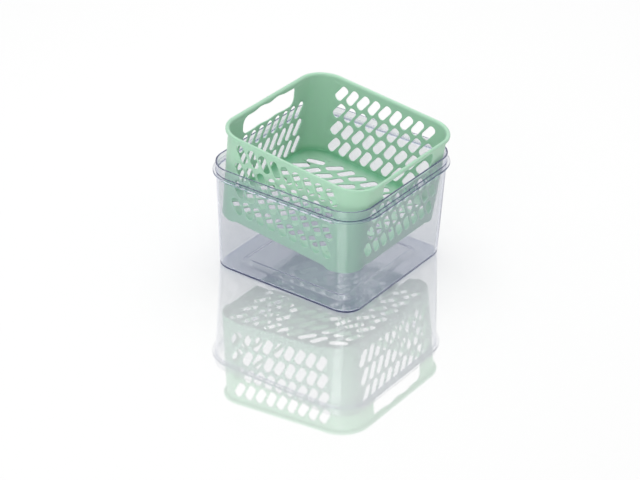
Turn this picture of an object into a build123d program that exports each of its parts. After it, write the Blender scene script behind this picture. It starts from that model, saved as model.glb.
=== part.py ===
from build123d import *
import math
import os

# Square food keeper in two mouldings: a clear container and a slotted basket that lifts out of it.
# Millimetres, +Z up. The origin is the middle of the container's foot ring, on the table. The basket is
# drawn in its own frame, with its origin in the middle of its top plane, and is then tilted and set
# where it wedges in the container: its lower left edge on the left wall, its right wall on the rim.

# Container: overall sizes
RIM_WIDTH = 160.0
CONTAINER_HEIGHT = 102.6
CONTAINER_TAPER = 3.18
CONTAINER_WALL = 1.5
CONTAINER_FLOOR = 2.0
RIM_CORNER = 25.5
BASE_CORNER = 16.5
BASE_EDGE_ROUND = 3.0
INSIDE_EDGE_ROUND = 2.0
RIM_ROUND = 0.6

# Container: the ledge round the outside that a lid would grip
LEDGE_REACH = 4.3
LEDGE_CORNER_EASE = 9.2
LEDGE_BELOW_RIM = 8.2
LEDGE_THICKNESS = 2.0
LEDGE_ROUND = 0.8

# Container: the middle of the floor, pushed up so that the pot stands on a ring
FOOT_RING_WIDTH = 22.1
PLATEAU_CORNER = 6.0
PLATEAU_RISE = 2.4
PLATEAU_FLANK = 6.0
PLATEAU_ROUND = 2.5

# Basket: overall sizes, and its fit in the container when it is pushed right in
BASKET_HEIGHT = 86.2
BASKET_DRAFT = 1.7
BASKET_WALL = 1.2
SEATED_HEIGHT = 18.0
SEATED_CLEARANCE = 1.1
CORNER_EASE = 6.0
CORNER_SPREAD = 2.5

# Basket: floor, raised above the lower edge, and corner feet
BASKET_FLOOR = 1.2
FLOOR_LIFT = 8.3
BASKET_INSIDE_ROUND = 1.2
FOOT_DROP = 2.0
FOOT_REACH = 22.0
FOOT_FLANK = 3.0
BASKET_EDGE_ROUND = 0.6

# Basket: the lip, a solid bead with a round top
LIP_OVERHANG = 2.5
LIP_HEIGHT = 3.2
LIP_OUTER_ROUND = 1.4
LIP_INNER_ROUND = 2.2
LIP_FOOT_ROUND = 0.5

# Basket: slots in the walls, with the ribs between them and the solid posts at the corners
SLOT_WIDTH = 7.7
SLOT_LENGTH = 16.8
SLOT_CORNER = 3.2
SLOT_LEANS = (33.0, 29.0)
SLOT_RIB = 2.4
SLOT_ROW_RIB = 1.55
SLOT_TOP_DROP = 6.8
CORNER_POST = 19.0

# Basket: hand holes in two opposite walls, in place of the first row of slots
HAND_LENGTH = 76.0
HAND_HEIGHT = 17.6
HAND_TOP_DROP = 5.4
HAND_RIB = 1.3
HAND_TIGHT_ROUND = 3.0
HAND_SOFT_ROUND = 7.0
FINGER_PITCH = 24.0
FINGER_TOP_RISE = 1.7
FINGER_FOOT_RISE = 0.9

# Basket: slots and pips in the floor
FLOOR_SLOT_WIDTH = 7.6
FLOOR_SLOT_LENGTH = 17.0
FLOOR_SLOT_CORNER = 3.0
FLOOR_SLOT_TURNS = (48.0, 60.0)
FLOOR_RIB = 2.6
FLOOR_ROW_RIB = 1.6
FLOOR_BORDER = 9.0
CORNER_SLOT_TURN = 22.0
CORNER_SLOT_INSET = 3.3
PIP_RADIUS = 1.8
PIP_RISE = 0.6
PIP_INSET = 8.4
PIP_OUTSET = 6.3

# How the basket sits in the container
BASKET_TILT = 6.1
WEDGE_CLEARANCE = 0.3

# How far a cutter runs past what it cuts, and how deep the wall cutters reach
OVERCUT = 1.0
WALL_CUT_DEPTH = 12.0


def between(low, high, share):
    """Value part of the way from low to high; a share outside 0 to 1 runs on past the ends."""
    return low + (high - low) * share


def rounded_extent(length, width, corner, turn):
    """Extent of a round-cornered rectangle along the axis that its length is turned away from."""
    angle = math.radians(turn)
    return (length - 2 * corner) * math.cos(angle) + (width - 2 * corner) * math.sin(angle) + 2 * corner


# Sizes that follow from the ones above
TAPER = math.tan(math.radians(CONTAINER_TAPER))
BASE_WIDTH = RIM_WIDTH - 2 * CONTAINER_HEIGHT * TAPER
LEDGE_WIDTH = RIM_WIDTH + 2 * LEDGE_REACH
LEDGE_CORNER = RIM_CORNER + LEDGE_CORNER_EASE
PLATEAU_WIDTH = BASE_WIDTH - 2 * FOOT_RING_WIDTH
DRAFT = math.tan(math.radians(BASKET_DRAFT))
BASKET_BASE_WIDTH = BASE_WIDTH + 2 * (SEATED_HEIGHT * TAPER - CONTAINER_WALL - SEATED_CLEARANCE)
BASKET_TOP_WIDTH = BASKET_BASE_WIDTH + 2 * BASKET_HEIGHT * DRAFT
SEATED_CORNER = between(BASE_CORNER, RIM_CORNER, SEATED_HEIGHT / CONTAINER_HEIGHT) - CONTAINER_WALL
BASKET_BASE_CORNER = SEATED_CORNER - SEATED_CLEARANCE + CORNER_EASE
BASKET_TOP_CORNER = BASKET_BASE_CORNER + CORNER_SPREAD
FLOOR_TOP = FLOOR_LIFT - BASKET_HEIGHT
SLOT_HEIGHT = rounded_extent(SLOT_LENGTH, SLOT_WIDTH, SLOT_CORNER, min(SLOT_LEANS))
MEAN_SLOT_LEAN = sum(SLOT_LEANS) / len(SLOT_LEANS)
SLOT_COLUMN_PITCH = (SLOT_WIDTH + SLOT_RIB) / math.cos(math.radians(MEAN_SLOT_LEAN))
SLOT_ROW_PITCH = SLOT_HEIGHT + SLOT_ROW_RIB
SLOT_COLUMNS = int((BASKET_BASE_WIDTH - 2 * CORNER_POST) / SLOT_COLUMN_PITCH)
SLOT_ROOM = -FLOOR_TOP - BASKET_INSIDE_ROUND - SLOT_TOP_DROP - SLOT_HEIGHT
SLOT_ROWS = 1 + int(SLOT_ROOM / SLOT_ROW_PITCH)
MEAN_FLOOR_TURN = sum(FLOOR_SLOT_TURNS) / len(FLOOR_SLOT_TURNS)
FLOOR_COLUMN_PITCH = (FLOOR_SLOT_WIDTH + FLOOR_RIB) / math.sin(math.radians(MEAN_FLOOR_TURN))
STEEPEST_LEAN = 90.0 - max(FLOOR_SLOT_TURNS)
FLOOR_SLOT_DEPTH = rounded_extent(FLOOR_SLOT_LENGTH, FLOOR_SLOT_WIDTH, FLOOR_SLOT_CORNER, STEEPEST_LEAN)
FLOOR_ROW_PITCH = FLOOR_SLOT_DEPTH + FLOOR_ROW_RIB
FLOOR_COLUMNS = int((BASKET_BASE_WIDTH - 2 * FLOOR_BORDER) / FLOOR_COLUMN_PITCH)
FLOOR_ROWS = int((BASKET_BASE_WIDTH - 2 * FLOOR_BORDER) / FLOOR_ROW_PITCH)


def rounded_square(width, corner, height):
    """Sketch of a square with round corners, at a height."""
    return Plane.XY.offset(height) * RectangleRounded(width, width, corner)


def container_block(inset, low, high):
    """Tapered block that follows the container's outside, shrunk by an inset, between two heights."""
    sections = []
    for height in (low, high):
        share = height / CONTAINER_HEIGHT
        width = between(BASE_WIDTH, RIM_WIDTH, share) - 2 * inset
        corner = between(BASE_CORNER, RIM_CORNER, share) - inset
        sections.append(rounded_square(width, corner, height))
    return loft(sections, ruled=True)


def basket_block(inset, low, high):
    """Tapered block that follows the basket's outside, shrunk by an inset, between two heights."""
    sections = []
    for height in (low, high):
        share = -height / BASKET_HEIGHT
        width = between(BASKET_TOP_WIDTH, BASKET_BASE_WIDTH, share) - 2 * inset
        corner = between(BASKET_TOP_CORNER, BASKET_BASE_CORNER, share) - inset
        sections.append(rounded_square(width, corner, height))
    return loft(sections, ruled=True)


def lowest_edges(solid):
    """Edges of a solid's lowest face."""
    return solid.faces().sort_by(Axis.Z)[0].edges()


def highest_edges(solid):
    """Edges of a solid's highest face."""
    return solid.faces().sort_by(Axis.Z)[-1].edges()


def plateau_block(foot):
    """Low frustum of the raised floor, with its flank run on below its foot for a clean join."""
    slope = 2 * PLATEAU_FLANK / PLATEAU_RISE
    low_width = PLATEAU_WIDTH + slope * (PLATEAU_RISE + OVERCUT)
    low_corner = PLATEAU_CORNER + slope * (PLATEAU_RISE + OVERCUT) / 2
    low = rounded_square(low_width, low_corner, foot - OVERCUT)
    high = rounded_square(PLATEAU_WIDTH, PLATEAU_CORNER, foot + PLATEAU_RISE)
    block = loft([low, high], ruled=True)
    return fillet(highest_edges(block), PLATEAU_ROUND)


def make_container():
    """Clear pot: tapered shell, lid ledge, rounded rim and pushed-up floor."""
    body = container_block(0, 0, CONTAINER_HEIGHT)
    body = fillet(lowest_edges(body), BASE_EDGE_ROUND)
    ledge_low = CONTAINER_HEIGHT - LEDGE_BELOW_RIM - LEDGE_THICKNESS
    ledge = extrude(rounded_square(LEDGE_WIDTH, LEDGE_CORNER, ledge_low), LEDGE_THICKNESS)
    ledge = fillet(ledge.edges().filter_by(Plane.XY), LEDGE_ROUND)
    body += ledge
    cavity = container_block(CONTAINER_WALL, CONTAINER_FLOOR, CONTAINER_HEIGHT + OVERCUT)
    cavity = fillet(lowest_edges(cavity), INSIDE_EDGE_ROUND)
    cavity -= plateau_block(CONTAINER_FLOOR)
    body -= cavity
    body -= plateau_block(0)
    return fillet(highest_edges(body), RIM_ROUND)


def wall_plane(across, height):
    """Plane just outside the +Y wall, seen from inside: X right, Z up."""
    outside = BASKET_TOP_WIDTH / 2 + OVERCUT
    return Plane((across, outside, height), x_dir=(1, 0, 0), z_dir=(0, -1, 0))


def leaning_slot(across, height, lean):
    """Cutter for one wall slot of the +Y wall, its top leaning to +X."""
    outline = Rot(Z=-lean) * RectangleRounded(SLOT_WIDTH, SLOT_LENGTH, SLOT_CORNER)
    return extrude(wall_plane(across, height) * outline, WALL_CUT_DEPTH)


def wall_slots(ceiling):
    """Cutters for the rows of slots of the +Y wall that lie wholly below a ceiling."""
    cutters = []
    for row in range(SLOT_ROWS):
        top = -SLOT_TOP_DROP - row * SLOT_ROW_PITCH
        height = top - SLOT_HEIGHT / 2
        if top > ceiling:
            continue
        for column in range(SLOT_COLUMNS):
            across = (column - (SLOT_COLUMNS - 1) / 2) * SLOT_COLUMN_PITCH
            lean = SLOT_LEANS[column % 2]
            cutters.append(leaning_slot(across, height, lean))
    return cutters


def finger_wave(level, rise):
    """Two shallow finger bumps side by side: a curve that starts, dips and ends at a level."""
    half = FINGER_PITCH / 2
    points = []
    for step in range(-2, 3):
        height = level + rise if step % 2 else level
        points.append((step * half, height))
    return Spline(points, tangents=((1, 0), (1, 0)))


def hand_hole():
    """Cutter for the hand hole of the +Y wall: round ends, a wavy edge above and below."""
    top = -HAND_TOP_DROP
    foot = top - HAND_HEIGHT
    left = -HAND_LENGTH / 2
    right = HAND_LENGTH / 2
    tight = HAND_TIGHT_ROUND
    soft = HAND_SOFT_ROUND
    over = finger_wave(top, FINGER_TOP_RISE)
    under = finger_wave(foot, FINGER_FOOT_RISE)
    edges = [
        over,
        Line(over @ 1, (right - tight, top)),
        RadiusArc((right - tight, top), (right, top - tight), tight),
        Line((right, top - tight), (right, foot + soft)),
        RadiusArc((right, foot + soft), (right - soft, foot), soft),
        Line((right - soft, foot), under @ 1),
        under,
        Line(under @ 0, (left + soft, foot)),
        RadiusArc((left + soft, foot), (left, foot + soft), soft),
        Line((left, foot + soft), (left, top - soft)),
        RadiusArc((left, top - soft), (left + soft, top), soft),
        Line((left + soft, top), over @ 0),
    ]
    return extrude(wall_plane(0, 0) * make_face(edges), WALL_CUT_DEPTH)


def floor_slot(x, y, turn):
    """Cutter for one floor slot, its length turned from +X."""
    outline = RectangleRounded(FLOOR_SLOT_LENGTH, FLOOR_SLOT_WIDTH, FLOOR_SLOT_CORNER)
    face = Plane.XY.offset(FLOOR_TOP - BASKET_FLOOR - OVERCUT)
    return extrude(face * (Pos(x, y) * Rot(Z=turn) * outline), BASKET_FLOOR + 2 * OVERCUT)


def floor_slots():
    """Cutters for the floor. In two opposite corners one turned slot stands for the last pair of a row."""
    cutters = []
    last_row = (FLOOR_ROWS - 1) / 2
    last_column = (FLOOR_COLUMNS - 1) / 2
    for row in range(FLOOR_ROWS):
        for column in range(FLOOR_COLUMNS):
            across = column - last_column
            along = row - last_row
            in_turned_corner = abs(along) == last_row and -across * along >= (last_column - 1) * last_row
            if in_turned_corner:
                continue
            turn = FLOOR_SLOT_TURNS[column % 2]
            cutters.append(floor_slot(across * FLOOR_COLUMN_PITCH, along * FLOOR_ROW_PITCH, turn))
    corner_x = (last_column - 0.5) * FLOOR_COLUMN_PITCH
    corner_y = last_row * FLOOR_ROW_PITCH - CORNER_SLOT_INSET
    for side in (1, -1):
        cutters.append(floor_slot(-side * corner_x, side * corner_y, CORNER_SLOT_TURN))
    return cutters


def foot_relief():
    """Cutter that raises the lower edge of the two Y walls between the corner feet."""
    half = BASKET_BASE_WIDTH / 2 - FOOT_REACH
    low = -BASKET_HEIGHT
    high = low + FOOT_DROP
    run_on = FOOT_FLANK / FOOT_DROP * OVERCUT
    outline = Polygon(
        (-half - run_on, low - OVERCUT),
        (half + run_on, low - OVERCUT),
        (half - FOOT_FLANK, high),
        (-half + FOOT_FLANK, high),
        align=None,
    )
    return extrude(Plane.XZ * outline, BASKET_BASE_WIDTH, both=True)


def lip_ring():
    """Bead that stands out all round the top of the basket."""
    width = BASKET_TOP_WIDTH + 2 * LIP_OVERHANG
    corner = BASKET_TOP_CORNER + LIP_OVERHANG
    ring = extrude(rounded_square(width, corner, -LIP_HEIGHT), LIP_HEIGHT)
    ring = fillet(highest_edges(ring), LIP_OUTER_ROUND)
    return fillet(lowest_edges(ring), LIP_FOOT_ROUND)


def make_basket():
    """Slotted basket in its own frame, the top plane at height 0."""
    body = basket_block(0, -BASKET_HEIGHT, 0)
    body = fillet(lowest_edges(body), BASKET_EDGE_ROUND)
    body += lip_ring()
    inside = basket_block(BASKET_WALL, FLOOR_TOP, OVERCUT)
    body -= fillet(lowest_edges(inside), BASKET_INSIDE_ROUND)
    body -= basket_block(BASKET_WALL, -BASKET_HEIGHT - OVERCUT, FLOOR_TOP - BASKET_FLOOR)
    mouth = body.faces().sort_by(Axis.Z)[-1].inner_wires()[0]
    body = fillet(mouth.edges(), LIP_INNER_ROUND)
    for turn in (0, 90):
        body -= Rot(Z=turn) * foot_relief()
    cutters = floor_slots()
    for turn in (0, 180):
        cutters += [Rot(Z=turn) * slot for slot in wall_slots(-LIP_HEIGHT)]
    hand_hole_foot = -HAND_TOP_DROP - HAND_HEIGHT
    for turn in (90, 270):
        cutters += [Rot(Z=turn) * slot for slot in wall_slots(hand_hole_foot - HAND_RIB)]
        cutters.append(Rot(Z=turn) * hand_hole())
    body -= cutters
    pip_x = (FLOOR_COLUMNS / 2 - 1) * FLOOR_COLUMN_PITCH - PIP_INSET
    pip_y = (FLOOR_ROWS - 1) / 2 * FLOOR_ROW_PITCH + PIP_OUTSET
    pip = extrude(Circle(PIP_RADIUS), BASKET_FLOOR / 2 + PIP_RISE)
    for x in (-pip_x, pip_x):
        for y in (-pip_y, pip_y):
            body += Pos(x, y, FLOOR_TOP - BASKET_FLOOR / 2) * pip
    return body


def wedge_place():
    """Place of the basket's top centre, as (x, z), that leaves the wedge clearance at both contacts.

    In the XZ plane the basket's right wall has to pass the container's inner rim edge, and its lower
    left edge has to pass the container's left inner wall. Both gaps are straight-line functions of
    the place, so each gives one equation a*x + b*z = c, and the pair is solved by determinants.
    """
    sine = math.sin(math.radians(BASKET_TILT))
    cosine = math.cos(math.radians(BASKET_TILT))
    rim_x = RIM_WIDTH / 2 - CONTAINER_WALL
    # Right: the rim edge, seen from the tilted basket, lies the clearance outside the wall
    normal_x = cosine - DRAFT * sine
    normal_z = -sine - DRAFT * cosine
    a1 = -normal_x
    b1 = -normal_z
    gap1 = WEDGE_CLEARANCE * math.hypot(1, DRAFT)
    c1 = BASKET_TOP_WIDTH / 2 + gap1 - normal_x * rim_x - normal_z * CONTAINER_HEIGHT
    # Left: the basket's lower left edge lies the clearance inside the container's wall
    edge_x = -BASKET_BASE_WIDTH / 2 * cosine - BASKET_HEIGHT * sine
    edge_z = BASKET_BASE_WIDTH / 2 * sine - BASKET_HEIGHT * cosine
    a2 = 1.0
    b2 = TAPER
    gap2 = WEDGE_CLEARANCE * math.hypot(1, TAPER)
    c2 = gap2 - (BASE_WIDTH / 2 - CONTAINER_WALL) - edge_x - TAPER * edge_z
    whole = a1 * b2 - a2 * b1
    return (c1 * b2 - c2 * b1) / whole, (a1 * c2 - a2 * c1) / whole


container = make_container()
place_x, place_z = wedge_place()
basket = Location((place_x, 0, place_z), (0, BASKET_TILT, 0)) * make_basket()

print(f"basket top centre at x {place_x:.2f}, z {place_z:.2f}")
os.makedirs("parts", exist_ok=True)
for name, piece in (("container", container), ("basket", basket)):
    piece.label = name
    print(f"{name}: {len(piece.solids())} solid, {piece.volume / 1000:.1f} cm3, valid {piece.is_valid}")
    export_step(piece, f"parts/{name}.step")
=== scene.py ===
# %% [markdown]
# # A clear food keeper with a slotted basket
# The real object is two plastic mouldings: a glass-clear pot and a mint-green basket that lifts out of it.
# The engineering model is loaded first, as a frame that never moves. Everything made below is worked out
# in that same frame, so the finished skins drop exactly onto the parts that they stand for.

import bmesh
import bpy
import numpy as np
from mathutils import Matrix, Vector


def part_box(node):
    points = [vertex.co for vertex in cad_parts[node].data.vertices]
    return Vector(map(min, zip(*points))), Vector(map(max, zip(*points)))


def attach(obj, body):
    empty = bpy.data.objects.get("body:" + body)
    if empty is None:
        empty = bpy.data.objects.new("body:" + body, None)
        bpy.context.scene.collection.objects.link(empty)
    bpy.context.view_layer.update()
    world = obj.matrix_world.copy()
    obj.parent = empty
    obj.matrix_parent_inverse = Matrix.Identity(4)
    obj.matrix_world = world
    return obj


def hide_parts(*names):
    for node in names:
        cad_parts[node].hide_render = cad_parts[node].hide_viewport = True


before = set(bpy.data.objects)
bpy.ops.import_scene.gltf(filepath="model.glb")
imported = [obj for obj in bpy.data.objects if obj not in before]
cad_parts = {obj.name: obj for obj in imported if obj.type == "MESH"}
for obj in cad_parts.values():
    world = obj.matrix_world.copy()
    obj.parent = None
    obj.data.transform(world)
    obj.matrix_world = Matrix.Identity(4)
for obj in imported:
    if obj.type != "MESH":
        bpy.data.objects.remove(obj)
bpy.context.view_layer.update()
MM = 0.001

# %% [markdown]
# ## Two helpers for moulded shapes
# Both mouldings are round-cornered squares in plan, so one rule gives every ring of points. A point of the
# ring is a place K on a square of corner centres plus a direction D on a unit circle: the ring of
# half-width a and corner radius r is (a - r) * K + r * D. A profile is a chain of corners, each with its
# own rounding radius, so a moulded edge is written as a corner and a number, as on a drawing.

# %% Rounded profiles


def rounded_profile(corners, rounds, steps=4):
    """Chain of points through corners, each corner replaced by an arc of the given radius.

    With d1 and d2 the unit directions from a corner to its neighbours, and w the angle between them, the
    arc starts and ends radius / tan(w / 2) from the corner. Its points are worked out in the plane of the
    first two coordinates; further coordinates follow the same blend.
    """
    corners = np.asarray(corners, float)
    chain = [corners[:1]]
    for before, corner, after, radius in zip(corners, corners[1:], corners[2:], rounds):
        one, two = before - corner, after - corner
        one = one / np.linalg.norm(one[:2])
        two = two / np.linalg.norm(two[:2])
        half = np.arccos(np.clip(np.dot(one[:2], two[:2]), -1, 1)) / 2
        turn = np.linspace(-1, 1, steps + 1)[:, None] * (np.pi / 2 - half)
        middle = (one + two) / 2
        middle = middle / np.linalg.norm(middle[:2])
        across = (two - one) / 2
        across = across / np.linalg.norm(across[:2])
        centre = corner + middle * radius / np.sin(half)
        arc = centre - radius * np.cos(turn) * middle + radius * np.sin(turn) * across
        chain.append(arc)
    return np.concatenate(chain + [corners[-1:]])


def profile_arc_check():
    """A right-angled corner of radius 1 has its arc points one radius from the arc's centre."""
    chain = rounded_profile([(0, 0), (5, 0), (5, 5)], [1])
    away = np.hypot(chain[1:-1, 0] - 4, chain[1:-1, 1] - 1)
    return float(np.abs(away - 1).max())


print("largest error of a test arc, in millimetres:", round(profile_arc_check(), 6))

# %% [markdown]
# ## Welding patches into one mesh
# A shape is built as a list of patches, each an array of points and an array of faces. Patches that meet
# repeat the points along their shared edge. Rounding all points to a fine grid and keeping one of each
# joins the patches into a closed skin, as Merge by Distance does in the Edit menu.

# %% Patches, grids and welding
WELD = 0.0037
WELD_SHIFT = 0.137  # an odd share of a cell, so that no round size lies on the border of a cell


def grid_faces(rows, columns):
    """Quads of a rows by columns grid of points, as point numbers."""
    at = np.arange(rows * columns).reshape(rows, columns)
    return np.stack([at[:-1, :-1], at[:-1, 1:], at[1:, 1:], at[1:, :-1]], -1).reshape(-1, 4)


def grid_patch(points):
    """Patch of a grid of points, shaped rows, columns, 3."""
    rows, columns = points.shape[:2]
    return points.reshape(-1, 3), grid_faces(rows, columns)


def weld(patches):
    """Joins patches: points that share a cell of the weld grid become one, and folded faces go."""
    counts = np.cumsum([0] + [len(points) for points, _ in patches])
    points = np.concatenate([points for points, _ in patches])
    faces = [list(face + start) for (_, block), start in zip(patches, counts) for face in block]
    cells = np.floor(points / WELD + WELD_SHIFT).astype(np.int64)
    _, first, number = np.unique(cells, axis=0, return_index=True, return_inverse=True)
    number = number.reshape(-1)
    joined = []
    for face in faces:
        loop = list(dict.fromkeys(number[face].tolist()))
        if len(loop) > 2:
            joined.append(loop)
    return points[first], joined


square = np.array([[(0, 0, 0), (1, 0, 0)], [(0, 1, 0), (1, 1, 0)]], float)
test_points, _ = weld([grid_patch(square), grid_patch(square + (1, 0, 0))])
print("two squares with a shared edge have", len(test_points), "points when welded")

# %% [markdown]
# ## From points to an object
# In Blender a mesh holds the points and faces, and an object shows it. The object stays at the origin,
# unturned and unscaled, so the points themselves are the true places, in metres. All faces are turned
# outwards and shaded smooth. Smooth shading alone makes wide flats look swollen beside narrow rounded edges,
# so a modifier corrects the normals; flat shading with sharp marks would take more work for the same look.

# %% Make a skin


def skin(name, points, faces):
    """Mesh object at the origin, in metres, with smooth faces that all point outwards.

    A Weighted Normal modifier lets the larger face decide at each edge, so wide flats stay flat and the
    narrow faces between them read as round.
    """
    mesh = bpy.data.meshes.new(name)
    mesh.from_pydata((points * MM).tolist(), [], faces)
    work = bmesh.new()
    work.from_mesh(mesh)
    bmesh.ops.recalc_face_normals(work, faces=work.faces)
    open_edges = sum(not edge.is_manifold for edge in work.edges)
    work.to_mesh(mesh)
    work.free()
    mesh.polygons.foreach_set("use_smooth", np.ones(len(mesh.polygons), bool))
    piece = bpy.data.objects.new(name, mesh)
    bpy.context.scene.collection.objects.link(piece)
    weighted = piece.modifiers.new("wide_faces_stay_flat", "WEIGHTED_NORMAL")
    weighted.weight = 50
    mesh.calc_loop_triangles()
    print(name, "points", len(points), "triangles", len(mesh.loop_triangles), "open edges", open_edges)
    return piece


print("one millimetre is", MM, "metres in Blender")

# %% [markdown]
# ## The clear pot
# The pot is one profile carried round a rounded square: up the outside, over the rim and down the inside
# to the middle of the floor, then back under it. A closed shell with a real wall matters here more than
# anywhere: light bends on its way into the plastic and again on its way out, and the dark lines along the
# rim and the ledge come only from that. Each profile corner gives half-width, height and plan radius.

# %% Sizes of the pot, in millimetres
RIM_HALF = 80.0
POT_HEIGHT = 102.6
POT_TAPER = np.tan(np.radians(3.18))
POT_WALL = 1.5
POT_FLOOR = 2.0
RIM_CORNER = 25.5
BASE_CORNER = 16.5
LEDGE_REACH = 4.3
LEDGE_EASE = 9.2
LEDGE_BELOW_RIM = 8.2
LEDGE_THICKNESS = 2.0
LEDGE_TOP = POT_HEIGHT - LEDGE_BELOW_RIM
LEDGE_FOOT = LEDGE_TOP - LEDGE_THICKNESS
PLATEAU_HALF = 52.2
PLATEAU_CORNER = 6.0
PLATEAU_RISE = 2.4
PLATEAU_FLANK = 6.0
print("pot", 2 * RIM_HALF, "mm across the rim and", POT_HEIGHT, "mm high")

# %% [markdown]
# A moulded pot tapers, so that it comes out of its mould. Half-width and corner radius both grow on the way
# up, so every corner of the profile takes them from its own height. The ledge has a softer corner than the
# rim, and the middle of the floor is pushed up on a sloping flank, so that the pot stands on a ring.

# %% Corners of the pot's profile


def pot_corner(inset, height):
    """Profile corner on the pot's wall: half-width, height and plan radius, moved in by an inset."""
    half = RIM_HALF - (POT_HEIGHT - height) * POT_TAPER - inset
    plan = BASE_CORNER + (RIM_CORNER - BASE_CORNER) * height / POT_HEIGHT - inset
    return half, height, plan


def ledge_corner(height):
    """Profile corner on the outer edge of the lid ledge."""
    return RIM_HALF + LEDGE_REACH, height, RIM_CORNER + LEDGE_EASE


def plateau_corners(foot):
    """The two profile corners of the raised floor, from its top edge out to its foot."""
    top = (PLATEAU_HALF, foot + PLATEAU_RISE, PLATEAU_CORNER)
    return top, (PLATEAU_HALF + PLATEAU_FLANK, foot, PLATEAU_CORNER + PLATEAU_FLANK)


print("half-width of the pot at its foot:", round(float(pot_corner(0, 0)[0]), 2), "mm")

# %% [markdown]
# The profile is carried round the square, and the tube that it makes is closed in the middle of the floor,
# once on the inside and once underneath. The roundings are small at the rim and the ledge, wider along the
# foot and very soft round the raised floor, whose edge shows only as a faint line.

# %% Pot mesh
FLOOR_MIDDLE_HALF = 1.0
FLOOR_MIDDLE_CORNER = 0.5
PLATEAU_ROUND = 3.5
PLATEAU_TOP_ROUND = 5.0
BASE_ROUND = 3.0
INSIDE_BASE_ROUND = 2.0
LEDGE_ROOT_ROUND = 0.4
LEDGE_ROUND = 0.8
RIM_ROUND = 0.6
POT_ROUND_STEPS = 5
POT_SIDE_STEPS = 8
POT_CORNER_STEPS = 14


def square_path(side_steps, corner_steps):
    """K and D of a round-cornered square, anticlockwise from the -Y end of the +X side."""
    turn = np.linspace(0, np.pi / 2, corner_steps + 1)
    arc = np.stack([np.cos(turn), np.sin(turn)], -1)
    run = np.linspace(-1, 1, side_steps + 1)[:-1]
    side_k = np.stack([np.ones_like(run), run], -1)
    side_d = np.tile([1.0, 0.0], (side_steps, 1))
    k = np.concatenate([side_k, np.ones((corner_steps, 2))])
    d = np.concatenate([side_d, arc[:-1]])
    turns = [np.linalg.matrix_power(np.array([[0, -1], [1, 0]]), q) for q in range(4)]
    return np.concatenate([k @ t.T for t in turns]), np.concatenate([d @ t.T for t in turns])


def with_height(flat, height):
    """Rings of flat points, shaped rings, points, 2, with each ring's height as the third coordinate."""
    return np.concatenate([flat, np.broadcast_to(height[:, None, None], flat.shape[:2] + (1,))], -1)


def pot_points():
    """Rings of the pot, shaped rings, points, 3: (half - plan) * K + plan * D at each profile point."""
    under_top, under_foot = plateau_corners(0.0)
    inner_top, inner_foot = plateau_corners(POT_FLOOR)
    corners = [
        (FLOOR_MIDDLE_HALF, PLATEAU_RISE, FLOOR_MIDDLE_CORNER), under_top, under_foot,
        pot_corner(0, 0), pot_corner(0, LEDGE_FOOT), ledge_corner(LEDGE_FOOT), ledge_corner(LEDGE_TOP),
        pot_corner(0, LEDGE_TOP), pot_corner(0, POT_HEIGHT), pot_corner(POT_WALL, POT_HEIGHT),
        pot_corner(POT_WALL, POT_FLOOR), inner_foot, inner_top,
        (FLOOR_MIDDLE_HALF, POT_FLOOR + PLATEAU_RISE, FLOOR_MIDDLE_CORNER),
    ]
    rounds = [
        PLATEAU_ROUND, PLATEAU_ROUND, BASE_ROUND, LEDGE_ROOT_ROUND, LEDGE_ROUND, LEDGE_ROUND,
        LEDGE_ROOT_ROUND, RIM_ROUND, RIM_ROUND, INSIDE_BASE_ROUND, PLATEAU_ROUND, PLATEAU_TOP_ROUND,
    ]
    half, height, plan = rounded_profile(corners, rounds, steps=POT_ROUND_STEPS).T
    k, d = square_path(POT_SIDE_STEPS, POT_CORNER_STEPS)
    return with_height((half - plan)[:, None, None] * k + plan[:, None, None] * d, height)


def capped_tube(rings):
    """Patches of a tube of closed rings, with a fan to one middle point at each end."""
    loops = np.concatenate([rings, rings[:, :1]], 1)
    patches = [grid_patch(loops)]
    for ring in (loops[0], loops[-1]):
        count = len(ring) - 1
        points = np.concatenate([ring, ring[:-1].mean(0, keepdims=True)])
        fan = np.stack([np.arange(count), np.arange(1, count + 1), np.full(count, count + 1)], -1)
        patches.append((points, fan))
    return patches


pot = skin("pot_shell", *weld(capped_tube(pot_points())))
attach(pot, "container")
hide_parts("container")

# %% [markdown]
# ## The basket as a sheet of tiles
# The green basket is mostly holes, so it is drawn hole by hole. Each slot gets a tile: a leaning four-sided
# piece of wall whose edge is shared with its neighbours. From the edge of the tile the skin runs to the
# slot, turns in over a small rounded edge, goes through the wall and comes out to the same tile edge on the
# inside. Tiles are drawn on a flat sheet (u along the wall, v up, and the depth into the wall), and the
# sheet is then bent round the basket's corners. A Boolean would give the same holes with sharp edges and
# long thin triangles; tiles give clean rounded edges and need no repair.

# %% Sizes of the basket, in millimetres
TOP_HALF = 75.258
BASE_HALF = 72.700
BASKET_HEIGHT = 86.2
TOP_CORNER = 23.979
BASKET_BASE_CORNER = 21.479
WALL = 1.2
FLOOR_TOP = -77.9
FLOOR_UNDER = -79.1
EDGE = 0.25
STRAIGHT = 51.25
BEND = 23.0
PANEL_HALF = 57.0
CORNER_STEPS = 10
SHORT_STEPS = 4
LONG_STEPS = 8

TILT = np.radians(6.1)
PLACE = (6.0487, 0.0, 130.187)
print("basket", BASKET_HEIGHT, "mm high, tilted by", round(float(np.degrees(TILT)), 1), "degrees")

# %% [markdown]
# The sheet is bent by one rule. Along the straight part of a wall the place K runs with u and the direction
# D points straight out; past it K stays at the corner's centre and D swings round by the extra length over
# the bending radius. The walls lean out a little towards the top, so half-width and corner radius both
# change with height. The whole basket is then tilted and set where it wedges in the pot.

# %% Bend the sheet and place the basket


def wall_size(v):
    """Half-width and corner radius of the outer wall at height v, in straight runs from top to base."""
    share = -v / BASKET_HEIGHT
    half = TOP_HALF + (BASE_HALF - TOP_HALF) * share
    return half, TOP_CORNER + (BASKET_BASE_CORNER - TOP_CORNER) * share


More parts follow.
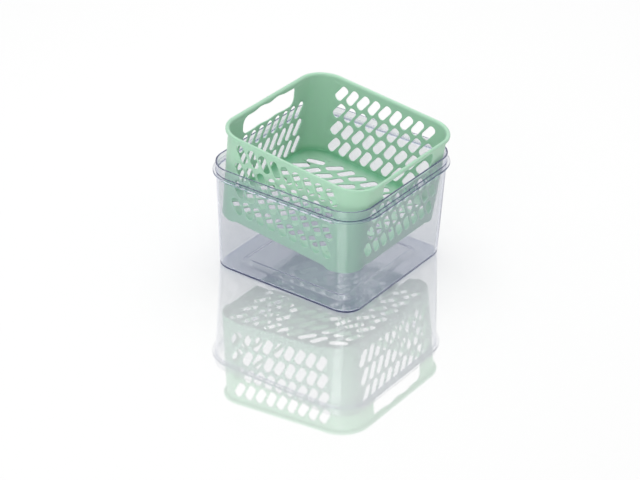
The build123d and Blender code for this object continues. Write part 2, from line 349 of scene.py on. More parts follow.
def bend(u, v, inset, wall):
    """Points of a wall, (half - radius) * K + (radius - inset) * D at height v, turned to wall 0 to 3."""
    u, v, inset = np.broadcast_arrays(np.asarray(u, float), v, inset)
    half, radius = wall_size(v)
    turn = np.sign(u) * np.maximum(np.abs(u) - STRAIGHT, 0) / BEND
    along = (half - radius) * np.clip(u / STRAIGHT, -1, 1) + (radius - inset) * np.sin(turn)
    out = (half - radius) + (radius - inset) * np.cos(turn)
    x, y = [(along, out), (-out, along), (-along, -out), (out, -along)][wall]
    return np.stack([x, y, v], -1)


def placed(points):
    """Basket points turned by the tilt about Y and moved to the wedge place."""
    x, y, z = points.T
    turned = np.stack([x * np.cos(TILT) + z * np.sin(TILT), y, z * np.cos(TILT) - x * np.sin(TILT)], -1)
    return turned + PLACE


print("outer half-width halfway down a wall:", round(wall_size(-BASKET_HEIGHT / 2)[0], 2), "mm")

# %% [markdown]
# A slot's outline is a rectangle with round corners, walked anticlockwise in four parts, each from the
# middle of one corner to the middle of the next. A part turns through the second half of its first corner,
# goes straight, and turns through the first half of the next one. Growing the outline by the size of the
# rounded edge only means a larger corner radius, because the corner centres stay where they are.

# %% Slot outlines and tile edges


def outline(half_size, radii, counts, arc_shares, turn=0.0, grow=0.0):
    """Round-cornered rectangle: centre(t) + (radius(t) + grow) * direction(t), top, left, bottom, right.

    Along each part t runs from 0 to 1. While t is within the arc share of an end, the direction turns by
    45 degrees there; between them the centre slides from one corner's centre to the next.
    """
    signs = np.array([(1, 1), (-1, 1), (-1, -1), (1, -1)])
    centres = signs * (np.asarray(half_size) - np.asarray(radii)[:, None])
    parts = []
    for part, (count, share) in enumerate(zip(counts, arc_shares)):
        t = np.arange(count) / count
        slide = np.clip((t - share) / (1 - 2 * share), 0, 1)
        swing = np.clip(t / share - 1, -1, 0) + np.clip((t - 1) / share + 1, 0, 1)
        angle = np.pi / 2 * (part + 1) + np.pi / 4 * swing
        ends = part, (part + 1) % 4
        centre = centres[ends[0]] + slide[:, None] * (centres[ends[1]] - centres[ends[0]])
        radius = radii[ends[0]] + slide * (radii[ends[1]] - radii[ends[0]]) + grow
        parts.append(centre + radius[:, None] * np.stack([np.cos(angle), np.sin(angle)], -1))
    points = np.concatenate(parts)
    c, s = np.cos(turn), np.sin(turn)
    return points @ np.array([[c, s], [-s, c]])


def split(marks, steps):
    """Marks along an edge, with every stretch between two marks cut into equal steps."""
    marks = np.asarray(marks, float)
    inner = marks[:-1, None] + (marks[1:] - marks[:-1])[:, None] * np.arange(steps) / steps
    return np.append(inner.reshape(-1), marks[-1])


def tile_edge(top_marks, foot_marks, top, foot, side_steps):
    """Edge of a tile, anticlockwise from its top right corner, and the four counts of its parts."""
    over = split(top_marks, SHORT_STEPS)[::-1]
    under = split(foot_marks, SHORT_STEPS)
    down = np.asarray(side_steps, float)
    left = np.stack([over[-1] + (under[0] - over[-1]) * down, top + (foot - top) * down], -1)
    right = np.stack([over[0] + (under[-1] - over[0]) * down, top + (foot - top) * down], -1)[::-1]
    over = np.stack([over, np.full(len(over), top)], -1)
    under = np.stack([under, np.full(len(under), foot)], -1)
    parts = [over, left, under, right]
    return np.concatenate([part[:-1] for part in parts]), [len(part) - 1 for part in parts]


def slot_rings(edge, slot, wide_slot, depth):
    """Six rings, as (u, v, depth), from a tile's edge through the slot to the tile's edge behind."""
    rings = [
        (edge, 0), (wide_slot, 0), (slot, EDGE),
        (slot, depth - EDGE), (wide_slot, depth), (edge, depth),
    ]
    closed = [np.concatenate([ring, ring[:1]]) for ring, _ in rings]
    return np.stack([np.column_stack([ring, np.full(len(ring), d)]) for ring, (_, d) in zip(closed, rings)])


EVEN_SIDE = np.linspace(0, 1, LONG_STEPS + 1)
SLOT_SHARES = (0.4, 0.25, 0.4, 0.25)
print("test outline of 8 by 16 mm, points:", len(outline((4, 8), (3,) * 4, (4, 8, 4, 8), SLOT_SHARES)))

# %% [markdown]
# ## Slotted walls
# Nine slots stand in a row and four rows fill a wall. The slots lean by about thirty degrees, every second
# one a little less. One tile reaches one column to the right at its top and one to the left at its foot, so
# the tiles lean like the slots do. The first and the last tile of a row are cut off upright where the plain
# corner of the basket begins.

# %% Wall rows
SLOT_HALF = (3.85, 8.4)
SLOT_CORNER = 3.2
SLOT_LEANS = np.radians([-33.0, -29.0])
COLUMN_PITCH = 11.783
COLUMNS = (np.arange(9) - 4) * COLUMN_PITCH
ROW_PITCH = 17.676
FIRST_ROW = -14.863
ROW_CENTRES = FIRST_ROW - ROW_PITCH * np.arange(4)
ROW_MARKS = np.array([-5.6, -23.7, -41.38, -59.05, -76.5])
PANEL_TOP = -3.35
U_MARKS = np.concatenate([[-PANEL_HALF], COLUMNS, [PANEL_HALF]])


def leaning_tiles(marks):
    """For each column between the end marks: its number, and the marks along its tile's top and foot."""
    last = len(marks) - 3
    for number in range(last + 1):
        top_marks = marks[(0 if number == 0 else number + 1):number + 3]
        foot_marks = marks[number:(len(marks) if number == last else number + 2)]
        yield number, top_marks, foot_marks


def wall_row(wall, row):
    """Patches of one row of slots of a wall."""
    patches = []
    top, foot = ROW_MARKS[row], ROW_MARKS[row + 1]
    for number, top_marks, foot_marks in leaning_tiles(U_MARKS):
        edge, counts = tile_edge(top_marks, foot_marks, top, foot, EVEN_SIDE)
        middle = (COLUMNS[number], ROW_CENTRES[row])
        shape = (SLOT_HALF, (SLOT_CORNER,) * 4, counts, SLOT_SHARES, SLOT_LEANS[number % 2])
        rings = slot_rings(edge, outline(*shape) + middle, outline(*shape, grow=EDGE) + middle, WALL)
        patches.append(grid_patch(bend(rings[..., 0], rings[..., 1], rings[..., 2], wall)))
    return patches


print("slots in a wall without a hand hole:", len(COLUMNS) * len(ROW_CENTRES))

# %% [markdown]
# ## Hand holes
# Two opposite walls have a hand hole in place of their first row. It is one wide tile. Its outline has one
# tight corner and three soft ones, and its upper and lower edges carry two shallow bumps for the fingers,
# each a raised cosine: half the rise times one minus the cosine of the way along the bump.

# %% Hand hole tile
HAND_HALF = (38.0, 8.8)
HAND_MIDDLE = (0.0, -14.2)
HAND_RADII = (3.0, 7.0, 7.0, 7.0)
FINGER_PITCH = 24.0
TOP_RISE = 1.7
FOOT_RISE = 0.9
HAND_SHARES = (0.1, 0.333, 0.1, 0.333)


def finger_waves(points):
    """Raises the upper and lower edge of the outline, about its middle, by two cosine bumps."""
    u, v = points.T
    inside = np.abs(u) < FINGER_PITCH
    bump = np.where(inside, (1 - np.cos(2 * np.pi * u / FINGER_PITCH)) / 2, 0)
    return np.stack([u, v + bump * np.where(v > 0, TOP_RISE, FOOT_RISE)], -1)


def hand_tile(wall):
    """Patch of the wall piece round a hand hole, from under the lip down to the second row of slots."""
    top, foot = PANEL_TOP, ROW_MARKS[1]
    first = (top - ROW_MARKS[0]) / (top - foot)
    sides = np.concatenate([[0.0], first + (1 - first) * EVEN_SIDE])
    edge, counts = tile_edge(U_MARKS, U_MARKS, top, foot, sides)
    shape = (HAND_HALF, HAND_RADII, counts, HAND_SHARES)
    hole = finger_waves(outline(*shape)) + HAND_MIDDLE
    wide_hole = finger_waves(outline(*shape, grow=EDGE)) + HAND_MIDDLE
    rings = slot_rings(edge, hole, wide_hole, WALL)
    return grid_patch(bend(rings[..., 0], rings[..., 1], rings[..., 2], wall))


print("hand hole", 2 * HAND_HALF[0], "by", 2 * HAND_HALF[1], "mm")

# %% [markdown]
# ## Corners, lip and lower edge
# What is left of the walls is plain: the four round corners, a narrow strip over the first row, the lip,
# which is a solid bead with a round top, and the lower edge that stands on four corner feet. All of them
# have the same marks along the wall as the tiles, so that the weld finds equal points.

# %% Plain parts of the walls
CORNER_END = STRAIGHT + BEND * np.pi / 2 - (PANEL_HALF - STRAIGHT)
CORNER_U = np.linspace(PANEL_HALF, CORNER_END, CORNER_STEPS + 1)
RING_U = np.concatenate([split(U_MARKS, SHORT_STEPS)[:-1], CORNER_U])
SIDE_V = np.concatenate([[PANEL_TOP], split(ROW_MARKS, LONG_STEPS)])
LIP_OUT = -2.5
LIP_FOOT = -3.2
LIP_PROFILE = [
    (0, PANEL_TOP), (0, LIP_FOOT), (LIP_OUT, LIP_FOOT), (LIP_OUT, 0), (WALL, 0), (WALL, PANEL_TOP),
]
LIP_ROUNDS = [0.1, 0.5, 1.4, 2.2]  # where it meets the wall, lower edge, outer edge, inner edge
FOOT_DROP = 2.0
FOOT_INNER = 47.7
FOOT_OUTER = 50.7
FOOT_ROUND = 0.6
INNER_ROUND = 1.2
FLOOR_FLAT_RUN = 0.3
FLOOR_FLAT_INSET = WALL + INNER_ROUND + FLOOR_FLAT_RUN
SKIRT_HELD = 1.0  # so much of the wall under the floor keeps its height between the feet


def corner_grid(wall, inset):
    """Grid of the plain corner after a wall, on the outer skin or on the inner one."""
    return grid_patch(bend(CORNER_U[None, :], SIDE_V[:, None], inset, wall))


def strip_over_slots(wall, inset):
    """Narrow plain strip between the lip and the first row of slots."""
    u = split(U_MARKS, SHORT_STEPS)
    return grid_patch(bend(u[None, :], np.array([PANEL_TOP, ROW_MARKS[0]])[:, None], inset, wall))


def run_round(profile, wall):
    """Grid of a profile of (inset, height) carried along one wall and its corner."""
    inset, height = np.asarray(profile, float).T
    return grid_patch(bend(RING_U[None, :], height[:, None], inset[:, None], wall))


def skirt(wall):
    """Lower edge: down the outside, round the edge and up the inside, higher between the feet."""
    profile = rounded_profile(
        [(0, ROW_MARKS[-1]), (0, -BASKET_HEIGHT), (WALL, -BASKET_HEIGHT), (WALL, FLOOR_UNDER)],
        [FOOT_ROUND, FOOT_ROUND],
    )
    inset, height = profile.T
    lift = FOOT_DROP * np.clip((FOOT_OUTER - np.abs(RING_U)) / (FOOT_OUTER - FOOT_INNER), 0, 1)
    low = height < FLOOR_UNDER - SKIRT_HELD
    return grid_patch(bend(RING_U[None, :], height[:, None] + low[:, None] * lift, inset[:, None], wall))


def plain_parts(wall):
    """All plain patches of one wall and the corner after it."""
    lip = rounded_profile(LIP_PROFILE, LIP_ROUNDS)
    floor_round = rounded_profile(
        [(WALL, ROW_MARKS[-1]), (WALL, FLOOR_TOP), (FLOOR_FLAT_INSET, FLOOR_TOP)], [INNER_ROUND],
    )
    corners = [corner_grid(wall, 0.0), corner_grid(wall, WALL)]
    return corners + [run_round(lip, wall), skirt(wall), run_round(floor_round, wall)]


print("points in one ring round the basket:", 4 * (len(RING_U) - 1))

# %% [markdown]
# The four walls are the same but for the hand holes, so one loop makes them all. The strip over the first
# row is needed only where that row is there, because the hand hole's tile reaches up to the lip by itself.

# %% All four walls


def wall_patches():
    """Patches of the four walls; walls 1 and 3 have hand holes."""
    patches = []
    for wall in range(4):
        patches += plain_parts(wall)
        has_hand_hole = wall % 2 == 1
        if has_hand_hole:
            patches.append(hand_tile(wall))
        else:
            patches += [strip_over_slots(wall, 0.0), strip_over_slots(wall, WALL)]
        for row in range(1 if has_hand_hole else 0, len(ROW_CENTRES)):
            patches += wall_row(wall, row)
    return patches


print("patches in the four walls:", len(wall_patches()))

# %% [markdown]
# ## Slotted floor
# The floor is a flat sheet of the same kind of tiles, ten across and seven deep. The slots of neighbouring
# columns are turned by different amounts, which gives the floor its woven look. In two opposite corners one
# slot lies across and takes the room of two.

# %% Floor tiles
FLOOR_COLUMN_PITCH = 12.608
FLOOR_COLUMNS = (np.arange(10) - 4.5) * FLOOR_COLUMN_PITCH
FLOOR_X_HALF = 65.5
FLOOR_X_MARKS = np.concatenate([[-FLOOR_X_HALF], FLOOR_COLUMNS, [FLOOR_X_HALF]])
FLOOR_Y_MARKS = np.array([62.75, 44.355, 26.9, 8.97, -8.97, -26.9, -44.355, -62.75])
FLOOR_ROW_PITCH = 17.93
FLOOR_ROWS = (3 - np.arange(7)) * FLOOR_ROW_PITCH
FLOOR_SLOT_HALF = (3.8, 8.5)
FLOOR_SLOT_CORNER = 3.0
FLOOR_LEANS = np.radians([-42.0, -30.0])
CORNER_SLOT = (-50.43, 50.49)
CORNER_SLOT_TURN = np.radians(22.0)
CORNER_SLOT_SHARES = (0.2, 0.35, 0.2, 0.35)
CORNER_SLOT_ROOM = 2
FLOOR_DEPTH = FLOOR_TOP - FLOOR_UNDER


def floor_tile(top_marks, foot_marks, row, middle, half_size, turn, shares):
    """Rings of one floor tile, as (x, y, depth)."""
    edge, counts = tile_edge(top_marks, foot_marks, FLOOR_Y_MARKS[row], FLOOR_Y_MARKS[row + 1], EVEN_SIDE)
    shape = (half_size, (FLOOR_SLOT_CORNER,) * 4, counts, shares, turn)
    return slot_rings(edge, outline(*shape) + middle, outline(*shape, grow=EDGE) + middle, FLOOR_DEPTH)


def floor_patches():
    """Patches of all floor tiles. The last row is the first one turned half round."""
    patches = []
    for row in range(len(FLOOR_ROWS)):
        is_last = row == len(FLOOR_ROWS) - 1
        source = 0 if is_last else row
        half_turn = -1 if is_last else 1
        tiles = []
        for number, top_marks, foot_marks in leaning_tiles(FLOOR_X_MARKS):
            if source == 0 and number < CORNER_SLOT_ROOM:
                continue
            turn = FLOOR_LEANS[(number + is_last) % 2]
            middle = (FLOOR_COLUMNS[number], FLOOR_ROWS[source])
            slot = (middle, FLOOR_SLOT_HALF, turn, SLOT_SHARES)
            tiles.append(floor_tile(top_marks, foot_marks, source, *slot))
        if source == 0:
            slot = (CORNER_SLOT, FLOOR_SLOT_HALF[::-1], CORNER_SLOT_TURN, CORNER_SLOT_SHARES)
            marks = FLOOR_X_MARKS[:CORNER_SLOT_ROOM + 2], FLOOR_X_MARKS[:CORNER_SLOT_ROOM + 1]
            tiles.append(floor_tile(*marks, source, *slot))
        for rings in tiles:
            points = rings * (half_turn, half_turn, -1) + (0, 0, FLOOR_TOP)
            patches.append(grid_patch(points))
    return patches


print("slots in the floor:", len(floor_patches()))

# %% [markdown]
# Between the straight edge of the tiled floor and the round wall runs a strip of triangles. The points on
# its two sides are not equal in number, so each side is measured in shares of the way round, and every step
# of one side is joined to the point of the other side that lies abreast of it, as a zip closes.

# %% Border of the floor
RING_START = -0.4  # share of a wall, counted from its middle, where its ring of points begins
LOOP_START = -0.5  # the same for the straight edge, which begins at a corner


def zip_strip(one, one_share, two, two_share):
    """Triangles between two rows of points: each step has the other row's point that lies abreast of it."""
    one_mid = (one_share[1:] + one_share[:-1]) / 2
    two_mid = (two_share[1:] + two_share[:-1]) / 2
    i, j = np.arange(len(one_mid)), np.arange(len(two_mid))
    i_apex = np.searchsorted(two_mid, one_mid, side="left") + len(one)
    j_apex = np.searchsorted(one_mid, two_mid, side="right")
    faces = np.concatenate([
        np.stack([i, i + 1, i_apex], -1),
        np.stack([j + len(one) + 1, j + len(one), j_apex], -1),
    ])
    return np.concatenate([one, two]), faces


def floor_border(height, inset):
    """Strip between the tiled floor and the round wall, on the upper or the under side."""
    ring = np.concatenate([bend(RING_U[:-1], height, inset, wall) for wall in (0, 3, 2, 1)])
    ring = np.concatenate([ring, ring[:1]])
    ring_share = np.arange(len(ring)) / (len(ring) - 1) * 4 + RING_START
    x = split(FLOOR_X_MARKS, SHORT_STEPS)
    y = split(FLOOR_Y_MARKS, LONG_STEPS)
    right = np.stack([np.full(len(y), FLOOR_X_HALF), y], -1)[:-1]
    over = np.stack([x, np.full(len(x), FLOOR_Y_MARKS[0])], -1)[:-1]
    loop = np.concatenate([over, right, -over, -right, over[:1]])
    loop_share = np.concatenate([
        side + np.arange(count) / count + LOOP_START
        for side, count in enumerate([len(over), len(right)] * 2)
    ] + [[4 + LOOP_START]])
    flat = np.column_stack([loop, np.full(len(loop), height)])
    return zip_strip(ring, ring_share, flat, loop_share)


borders = [floor_border(FLOOR_TOP, FLOOR_FLAT_INSET), floor_border(FLOOR_UNDER, WALL)]
print("triangles in the floor's borders:", [len(faces) for _, faces in borders])

# %% [markdown]
# Four small round pips stand on the floor near its corners. Each is a closed dome sunk a little into it.

# %% Pips
PIP_X = 42.03
PIP_Y = 60.09
PIP_PROFILE = [(1.8, -0.5), (1.8, 0.6), (0.2, 0.6)]
PIP_ROUND = 0.4
PIP_STEPS = 16


def pip_patches():
    """Patches of the four pips: a rounded profile of (radius, height) turned round an upright axis."""
    radius, height = rounded_profile(PIP_PROFILE, [PIP_ROUND]).T
    turn = np.arange(PIP_STEPS) * 2 * np.pi / PIP_STEPS
    rings = with_height(radius[:, None, None] * np.stack([np.cos(turn), np.sin(turn)], -1), height)
    patches = []
    for x in (-PIP_X, PIP_X):
        for y in (-PIP_Y, PIP_Y):
            patches += capped_tube(rings + (x, y, FLOOR_TOP))
    return patches


print("patches in the four pips:", len(pip_patches()))

# %% [markdown]
# Where the floor meets the walls the green is painted darker, as a painted shade for the shade in that
# inside corner. The place is known while the basket still lies in its own frame, so each point gets a share
# there, from 1 in the corner to 0 some millimetres away, and the mesh keeps it as an attribute that the
# material can read.

# %% Where floor and wall meet
INSIDE_INSET = 1.0
FLOOR_SKIN = 0.2
# the painted shade starts this far in from the outer wall and fades over these distances across and up
SHADE_START = 3.0
SHADE_ACROSS = 7.0
SHADE_UP = 5.0


# painted shade: how strongly each point is painted darker where floor and walls meet inside
def painted_shade_share(points):
    """For each point, 1 where floor and wall meet inside, falling to 0 some millimetres away from there.

    The distance of a point from the outer wall is the corner radius less the length of what its place
    has beyond the corner centre, which on a straight wall is just the distance from that wall.
    """
    x, y, v = points.T
    half, radius = wall_size(v)
    beyond = np.maximum(np.abs(np.stack([x, y])) - (half - radius), 0)
    inset = radius - np.hypot(*beyond)
    inside = (inset > INSIDE_INSET) & (v > FLOOR_TOP - FLOOR_SKIN)
    away = np.hypot(np.maximum(inset - SHADE_START, 0) / SHADE_ACROSS, (v - FLOOR_TOP) / SHADE_UP)
    return np.where(inside, np.clip(1 - away, 0, 1), 0)


two_places = np.array([[BASE_HALF - SHADE_START, 0, FLOOR_TOP], [0, 0, FLOOR_TOP]])
print("share near a wall and in the middle:", np.round(painted_shade_share(two_places), 2).tolist())

# %% [markdown]
# All patches are welded in the basket's own frame, and the points are then tilted and moved into place.

# %% Basket mesh
basket_points, basket_faces = weld(wall_patches() + floor_patches() + borders + pip_patches())
basket = skin("basket_shell", placed(basket_points), basket_faces)
# painted shade: the share of darkening in the corner of floor and walls is kept on the mesh
painted_corner_shade = basket.data.attributes.new("painted_corner_shade", "FLOAT", "POINT")
painted_corner_shade.data.foreach_set("value", painted_shade_share(basket_points))
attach(basket, "basket")
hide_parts("basket")

# %% [markdown]
# The skins must lie where the engineering parts lie. The boxes of both are compared here, in millimetres.

# %% Compare the skins with the frame


def box_difference(piece, node):
    """Largest difference between a piece's box and its CAD node's box, in millimetres."""
    points = np.array([corner[:] for corner in piece.bound_box])
    low, high = (np.array(corner[:]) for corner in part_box(node))
    return float(max(np.abs(points.min(0) - low).max(), np.abs(points.max(0) - high).max()) / MM)


for piece, node in ((pot, "container"), (basket, "basket")):
    print(piece.name, "differs from its part's box by", round(box_difference(piece, node), 3), "mm")

# %% [markdown]
# ## A shared moulded surface
# Both pieces come out of polished steel moulds, so both have the same kind of skin: colour that drifts very
# slightly, a gloss that is a little uneven from handling, and a faint waviness. One node group makes those
# three and both materials use it. It works in Object coordinates, so the pattern stays on the part.

# %% Node group for moulded plastic
DRIFT_SCALE = 22.0
SMEAR_SCALE = 60.0
GLOSS_RANGE = (0.8, 1.2)
VALUE = "NodeSocketFloat"
COLOUR = "NodeSocketColor"


def add_node(tree, kind, **values):
    """Node of a kind in a tree; names of sockets and properties are given with their values."""
    node = tree.nodes.new(kind)
    for name, value in values.items():
        socket = node.inputs.get(name.title())
        if socket:
            socket.default_value = value
        else:
            setattr(node, name, value)
    return node


def moulded_group():
    """Group with colour, spread and gloss in, and colour, roughness and height out."""
    tree = bpy.data.node_groups.new("moulded_surface", "ShaderNodeTree")
    sockets = tree.interface
    for name, kind in (("Colour", COLOUR), ("Spread", VALUE), ("Gloss", VALUE)):
        sockets.new_socket(name, in_out="INPUT", socket_type=kind)
    for name, kind in (("Colour", COLOUR), ("Roughness", VALUE), ("Height", VALUE)):
        sockets.new_socket(name, in_out="OUTPUT", socket_type=kind)
    start = add_node(tree, "NodeGroupInput")
    end = add_node(tree, "NodeGroupOutput")
    place = add_node(tree, "ShaderNodeTexCoord")
    drift = add_node(tree, "ShaderNodeTexNoise", scale=DRIFT_SCALE, detail=2.0, roughness=0.5)
    smear = add_node(tree, "ShaderNodeTexNoise", scale=SMEAR_SCALE, detail=3.0, roughness=0.6)
    tone = add_node(tree, "ShaderNodeMapRange")
    low = add_node(tree, "ShaderNodeMath", operation="SUBTRACT")
    low.inputs[0].default_value = 1.0
    high = add_node(tree, "ShaderNodeMath", operation="ADD")
    high.inputs[0].default_value = 1.0
    shade = add_node(tree, "ShaderNodeVectorMath", operation="SCALE")
    uneven = add_node(tree, "ShaderNodeMapRange")
    uneven.inputs["To Min"].default_value, uneven.inputs["To Max"].default_value = GLOSS_RANGE
    rough = add_node(tree, "ShaderNodeMath", operation="MULTIPLY")
    links = (
        (place.outputs["Object"], drift.inputs["Vector"]),
        (place.outputs["Object"], smear.inputs["Vector"]),
        (start.outputs["Spread"], low.inputs[1]),
        (start.outputs["Spread"], high.inputs[1]),
        (drift.outputs["Fac"], tone.inputs["Value"]),
        (low.outputs[0], tone.inputs["To Min"]),
        (high.outputs[0], tone.inputs["To Max"]),
        (start.outputs["Colour"], shade.inputs[0]),
        (tone.outputs["Result"], shade.inputs["Scale"]),
        (shade.outputs["Vector"], end.inputs["Colour"]),
        (smear.outputs["Fac"], uneven.inputs["Value"]),
        (uneven.outputs["Result"], rough.inputs[0]),
        (start.outputs["Gloss"], rough.inputs[1]),
        (rough.outputs[0], end.inputs["Roughness"]),
        (drift.outputs["Fac"], end.inputs["Height"]),
    )
    for source, target in links:
        tree.links.new(source, target)
    return tree


moulded = moulded_group()
print("group", moulded.name, "nodes", len(moulded.nodes))

# %% [markdown]
# A material is made round the group: a Principled shader takes the group's colour and roughness, and a Bump
# node turns its height into a faint waviness. The two plastics differ only in the numbers put in here, and
# in what is added to each of them below.

# %% Moulded material
BUMP_DISTANCE = 0.0005


def moulded_material(name, group, colour, spread, gloss, waviness):
    """Material with a Principled shader fed by the moulded surface group; returns it with its shader."""
    material = bpy.data.materials.new(name)
    material.use_nodes = True
    tree = material.node_tree
    shader = tree.nodes["Principled BSDF"]
    skin_node = add_node(tree, "ShaderNodeGroup", node_tree=group)
    skin_node.inputs["Colour"].default_value = (*colour, 1)
    skin_node.inputs["Spread"].default_value = spread
    skin_node.inputs["Gloss"].default_value = gloss
    bump = add_node(tree, "ShaderNodeBump", strength=waviness, distance=BUMP_DISTANCE)
    tree.links.new(skin_node.outputs["Colour"], shader.inputs["Base Color"])
    tree.links.new(skin_node.outputs["Roughness"], shader.inputs["Roughness"])
    tree.links.new(skin_node.outputs["Height"], bump.inputs["Height"])
    tree.links.new(bump.outputs["Normal"], shader.inputs["Normal"])
    return material, shader


print("bump distance", 1000 * BUMP_DISTANCE, "mm, taken at a few hundredths of its strength")

# %% [markdown]
# ## Mint-green basket plastic
# The basket is polypropylene: not quite opaque, with a soft satin gloss. A little light is let under the
# surface, which fills the shadows between the ribs with green, as it does in the real moulding. Along the
# edge of the floor the colour is multiplied by a darker green, as strongly as the mesh attribute says; this
# is a painted shade in the corner where floor and walls meet.

# %% Green plastic
GREEN = (0.41, 0.655, 0.49)
# painted shade: the basket's colour is multiplied by this darker green where floor and walls meet
PAINTED_SHADE_GREEN = (0.5, 0.8, 0.64, 1)
MIX_COLOUR_A = 6  # a Mix node has one set of sockets for each kind of data; these are the colour ones
MIX_COLOUR_B = 7
MIX_COLOUR_RESULT = 2
green, green_shader = moulded_material(
    "green_plastic", moulded, GREEN, spread=0.03, gloss=0.34, waviness=0.05,
)
green_shader.inputs["IOR"].default_value = 1.49
green_shader.inputs["Subsurface Weight"].default_value = 0.25
green_shader.inputs["Subsurface Radius"].default_value = (0.6, 1.0, 0.7)
green_shader.inputs["Subsurface Scale"].default_value = 0.002
# painted shade: the attribute's share mixes the darker green into the basket's colour
shade_share = add_node(green.node_tree, "ShaderNodeAttribute", attribute_name="painted_corner_shade")
painted_shade_mix = add_node(green.node_tree, "ShaderNodeMix", data_type="RGBA", blend_type="MULTIPLY")
painted_shade_mix.inputs[MIX_COLOUR_B].default_value = PAINTED_SHADE_GREEN
green_colour = green_shader.inputs["Base Color"].links[0].from_socket
green.node_tree.links.new(shade_share.outputs["Fac"], painted_shade_mix.inputs["Factor"])
green.node_tree.links.new(green_colour, painted_shade_mix.inputs[MIX_COLOUR_A])
green.node_tree.links.new(painted_shade_mix.outputs[MIX_COLOUR_RESULT], green_shader.inputs["Base Color"])
basket.data.materials.append(green)
print("green", [round(value, 2) for value in GREEN])

# %% [markdown]
# ## Clear pot plastic
# The pot is clear and very slightly blue-grey. Most of the colour is put into the body of the plastic, as
# Volume Absorption, so a wall seen straight on is nearly colourless, while along the rim and the ledge, where
# the view runs lengthwise through the plastic, it turns to a dark line. On the real pot those lines are blue,
# because light that is caught in the thin edges comes out there; a very faint blue glow stands in for it.
# For shadow rays the shader is swapped for a Transparent one, so the pot casts only a pale shadow.

# %% Clear plastic
CLEAR = (0.845, 0.843, 0.81)
# painted glow: the whole surface of the pot gives off this faint blue light, though it is no lamp
PAINTED_BLUE_GLOW = (0.15, 0.28, 1, 1)
GLOW_STRENGTH = 0.018
BODY_COLOUR = (0.25, 0.37, 0.75, 1)
BODY_DENSITY = 45.0
SHADOW_TINT = (0.9, 0.91, 0.905, 1)
clear, clear_shader = moulded_material(
    "clear_plastic", moulded, CLEAR, spread=0.01, gloss=0.02, waviness=0.02,
)
clear_shader.inputs["IOR"].default_value = 1.55
clear_shader.inputs["Transmission Weight"].default_value = 1.0
clear_shader.inputs["Emission Color"].default_value = PAINTED_BLUE_GLOW
clear_shader.inputs["Emission Strength"].default_value = GLOW_STRENGTH
absorb = add_node(clear.node_tree, "ShaderNodeVolumeAbsorption", color=BODY_COLOUR, density=BODY_DENSITY)
output = clear.node_tree.nodes["Material Output"]
clear.node_tree.links.new(absorb.outputs[0], output.inputs["Volume"])
passing = add_node(clear.node_tree, "ShaderNodeBsdfTransparent", color=SHADOW_TINT)
ray = add_node(clear.node_tree, "ShaderNodeLightPath")
either = add_node(clear.node_tree, "ShaderNodeMixShader")
clear.node_tree.links.new(ray.outputs["Is Shadow Ray"], either.inputs["Fac"])
clear.node_tree.links.new(clear_shader.outputs[0], either.inputs[1])
clear.node_tree.links.new(passing.outputs[0], either.inputs[2])
clear.node_tree.links.new(either.outputs[0], output.inputs["Surface"])
pot.data.materials.append(clear)
print("clear plastic, density of the absorption", absorb.inputs["Density"].default_value)

# %% [markdown]
# ## Stage, light and camera
# The pot stands on a glossy white table in front of white. The table is one plain square, a hair lower than
# the pot's foot, because two faces in the same plane flicker in a render. It is partly a mirror, so it shows
# the object upside down as a polished table does, and the rest of it is white and keeps the shadow.

# %% Floor
FLOOR_HALF = 3.0
FLOOR_DROP = 0.0002
floor_mesh = bpy.data.meshes.new("table")
floor_corners = [(-FLOOR_HALF, -FLOOR_HALF, -FLOOR_DROP), (FLOOR_HALF, -FLOOR_HALF, -FLOOR_DROP)]
floor_corners += [(FLOOR_HALF, FLOOR_HALF, -FLOOR_DROP), (-FLOOR_HALF, FLOOR_HALF, -FLOOR_DROP)]
floor_mesh.from_pydata(floor_corners, [], [(0, 1, 2, 3)])
floor = bpy.data.objects.new("table", floor_mesh)
bpy.context.scene.collection.objects.link(floor)
table = bpy.data.materials.new("white_table")
table.use_nodes = True
table_shader = table.node_tree.nodes["Principled BSDF"]
table_shader.inputs["Base Color"].default_value = (0.98, 0.98, 0.98, 1)
table_shader.inputs["Roughness"].default_value = 0.03
table_shader.inputs["IOR"].default_value = 1.8
table_shader.inputs["Metallic"].default_value = 0.45
floor_mesh.materials.append(table)
print("floor", 2 * FLOOR_HALF, "m square")

# %% [markdown]
# Two large soft lamps light the object, one from above and one from the front, and the rest of the light
# comes from a white room. The room is at full strength for everything that is seen, mirrored or looked at
# through the clear plastic, so the background stays white. For light that falls on the pieces it is dimmer,
# so that the lamps can shape the basket's walls.

# %% World and lamps
ROOM_LIGHT = 0.55
ROOM_SEEN = 1.0
AIM = (0, 0, 0.06)
world = bpy.data.worlds.new("studio")
bpy.context.scene.world = world
world.use_nodes = True
tree = world.node_tree
background = tree.nodes["Background"]
path = add_node(tree, "ShaderNodeLightPath")
room = add_node(tree, "ShaderNodeMix", data_type="FLOAT")
room.inputs["A"].default_value = ROOM_LIGHT
room.inputs["B"].default_value = ROOM_SEEN
seen = add_node(tree, "ShaderNodeMath", operation="MAXIMUM")
through = add_node(tree, "ShaderNodeMath", operation="MAXIMUM")
tree.links.new(path.outputs["Is Camera Ray"], seen.inputs[0])
tree.links.new(path.outputs["Is Glossy Ray"], seen.inputs[1])
tree.links.new(seen.outputs[0], through.inputs[0])
tree.links.new(path.outputs["Is Transmission Ray"], through.inputs[1])
tree.links.new(through.outputs[0], room.inputs["Factor"])
tree.links.new(room.outputs["Result"], background.inputs["Strength"])
background.inputs["Color"].default_value = (1, 1, 1, 1)


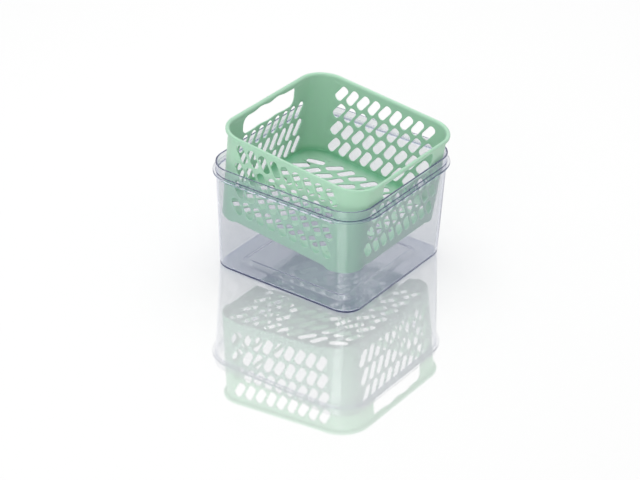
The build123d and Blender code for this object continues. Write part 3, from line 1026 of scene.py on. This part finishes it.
def soft_lamp(name, place, aim, size, power):
    """Square area lamp at a place, turned to face an aim point."""
    lamp = bpy.data.lights.new(name, "AREA")
    lamp.size = size
    lamp.energy = power
    holder = bpy.data.objects.new(name, lamp)
    holder.location = place
    holder.rotation_euler = (Vector(aim) - Vector(place)).to_track_quat("-Z", "Y").to_euler()
    bpy.context.scene.collection.objects.link(holder)
    return holder


soft_lamp("overhead", (-0.2, 0.3, 1.6), AIM, size=1.5, power=15.0)
soft_lamp("front", (0.4, -1.7, 0.6), AIM, size=1.2, power=9.0)

# %% [markdown]
# The camera was fitted to the photograph from the rim, the ledge, the base and the lip. Its place is given
# by the distance, two angles, a slight roll and the shift of the picture, as they came out of that fit.

# %% Camera
PICTURE_WIDTH = 640
SENSOR_WIDTH = 36.0
FOCAL_PIXELS = 2279.1
AZIMUTH = np.radians(34.6)
ELEVATION = np.radians(30.08)
ROLL = np.radians(1.644)
DISTANCE = 2012.7
SHIFT = (-9.46, -28.34)
TARGET = np.array([0, 0, 50.0])

back = np.array([
    np.sin(AZIMUTH) * np.cos(ELEVATION), -np.cos(AZIMUTH) * np.cos(ELEVATION), np.sin(ELEVATION),
])
right = np.cross((0, 0, 1), back)
right = right / np.linalg.norm(right)
up = np.cross(back, right)
rolled_right = np.cos(ROLL) * right + np.sin(ROLL) * up
rolled_up = np.cos(ROLL) * up - np.sin(ROLL) * right
eye = (TARGET + DISTANCE * back + SHIFT[0] * rolled_right + SHIFT[1] * rolled_up) * MM
lens = bpy.data.cameras.new("camera")
lens.sensor_width = SENSOR_WIDTH
lens.lens = FOCAL_PIXELS * SENSOR_WIDTH / PICTURE_WIDTH
camera = bpy.data.objects.new("camera", lens)
axes = np.column_stack([rolled_right, rolled_up, back, eye])
camera.matrix_world = Matrix(np.vstack([axes, (0, 0, 0, 1)]).tolist())
bpy.context.scene.collection.objects.link(camera)
bpy.context.scene.camera = camera
bpy.context.scene.view_settings.view_transform = "Standard"
print("camera at", [round(float(value), 3) for value in eye], "lens", round(lens.lens, 1), "mm")
